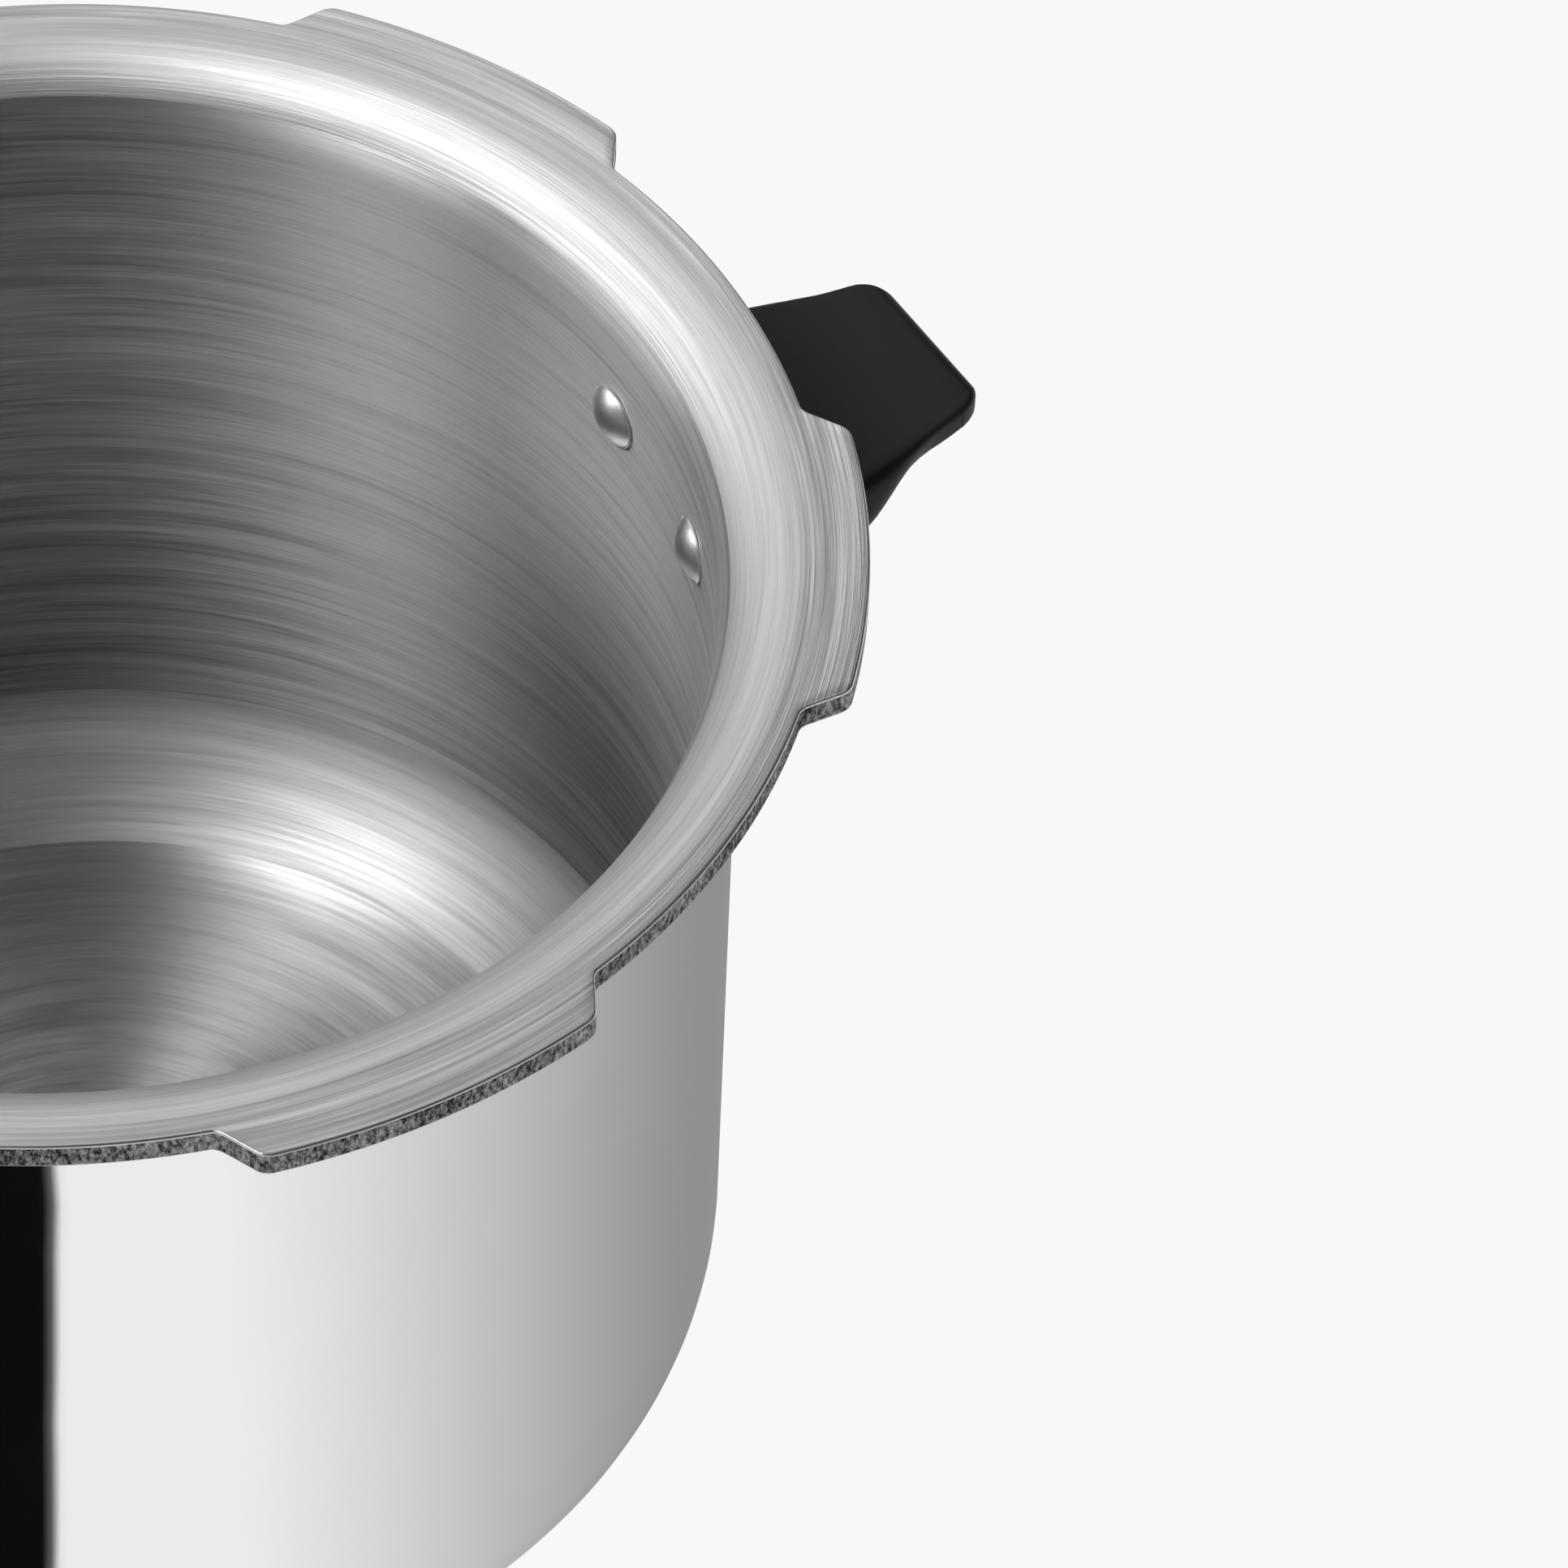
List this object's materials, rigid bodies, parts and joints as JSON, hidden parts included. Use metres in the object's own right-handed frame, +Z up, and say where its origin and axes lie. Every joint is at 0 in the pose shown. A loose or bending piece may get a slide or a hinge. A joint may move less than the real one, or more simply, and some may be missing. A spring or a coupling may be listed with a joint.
{
  "type": "stovetop pressure cooker",
  "caption": "Open stovetop pressure cooker: round aluminium pan with a lugged rim, short and long black handles, and its domed bayonet lid lying beside it.",
  "frame": {"origin": "centre of the pan's flat base, on the surface it stands on", "axes": "+Z up along the pan's axis, +X towards the helper handle, -X along the long handle"},
  "size_m": [0.5093, 0.5931, 0.177],
  "materials": {
    "pan_aluminium": "mirror-polished outside, fine circular turning marks inside, machined rim",
    "lid_aluminium": "polished outside, satin inside",
    "bracket_steel": "plain pressed steel",
    "rivet_aluminium": "bright pressed heads",
    "screw_steel": "zinc-bright",
    "handle_phenolic": "matte black phenolic",
    "gasket_rubber": "matte dark grey silicone",
    "washer_rubber": "matte black",
    "valve_steel": "turned stainless steel",
    "safety_brass": "turned brass",
    "core_alloy": "dull low-melting alloy",
    "indicator_red": "red enamelled pin",
    "weight_steel": "polished"
  },
  "bodies": {
    "pan_body": {"pan": "pan_aluminium", "helper_bracket": "bracket_steel", "helper_rivets": "rivet_aluminium", "helper_handle": "handle_phenolic", "helper_screw": "screw_steel", "long_bracket": "bracket_steel", "long_rivets": "rivet_aluminium", "long_handle": "handle_phenolic", "long_handle_screws": "screw_steel"},
    "gasket_ring": {"gasket": "gasket_rubber"},
    "lid": {"lid_shell": "lid_aluminium", "lid_bracket": "bracket_steel", "lid_rivets": "rivet_aluminium", "lid_handle": "handle_phenolic", "lid_handle_screws": "screw_steel", "vent_pipe": "valve_steel", "vent_washer": "washer_rubber", "vent_nut": "valve_steel", "safety_plug": "safety_brass", "safety_core": "core_alloy", "safety_washer": "washer_rubber", "safety_nut": "safety_brass", "indicator_bush": "valve_steel", "indicator_nut": "valve_steel"},
    "indicator": {"indicator_pin": "indicator_red", "indicator_seal": "washer_rubber"},
    "weight": {"weight_body": "weight_steel", "weight_cap": "handle_phenolic", "weight_needle": "valve_steel"}
  },
  "joints": [
    {"name": "lid_lift", "type": "slide", "parent": "pan_body", "child": "gasket_ring", "axis": [0, 0, 1], "range_m": [0, 0.25]},
    {"name": "lid_turn", "type": "hinge", "parent": "gasket_ring", "child": "lid", "pos_m": [-0.23, 0.19, 0], "axis": [0, 0, -1], "range_deg": [0, 30]},
    {"name": "weight_lift", "type": "slide", "parent": "lid", "child": "weight", "axis": [0, 0, 1], "range_m": [0, 0.035]},
    {"name": "indicator_rise", "type": "slide", "parent": "lid", "child": "indicator", "axis": [0, 0, 1], "range_m": [0, 0.005]}
  ]
}
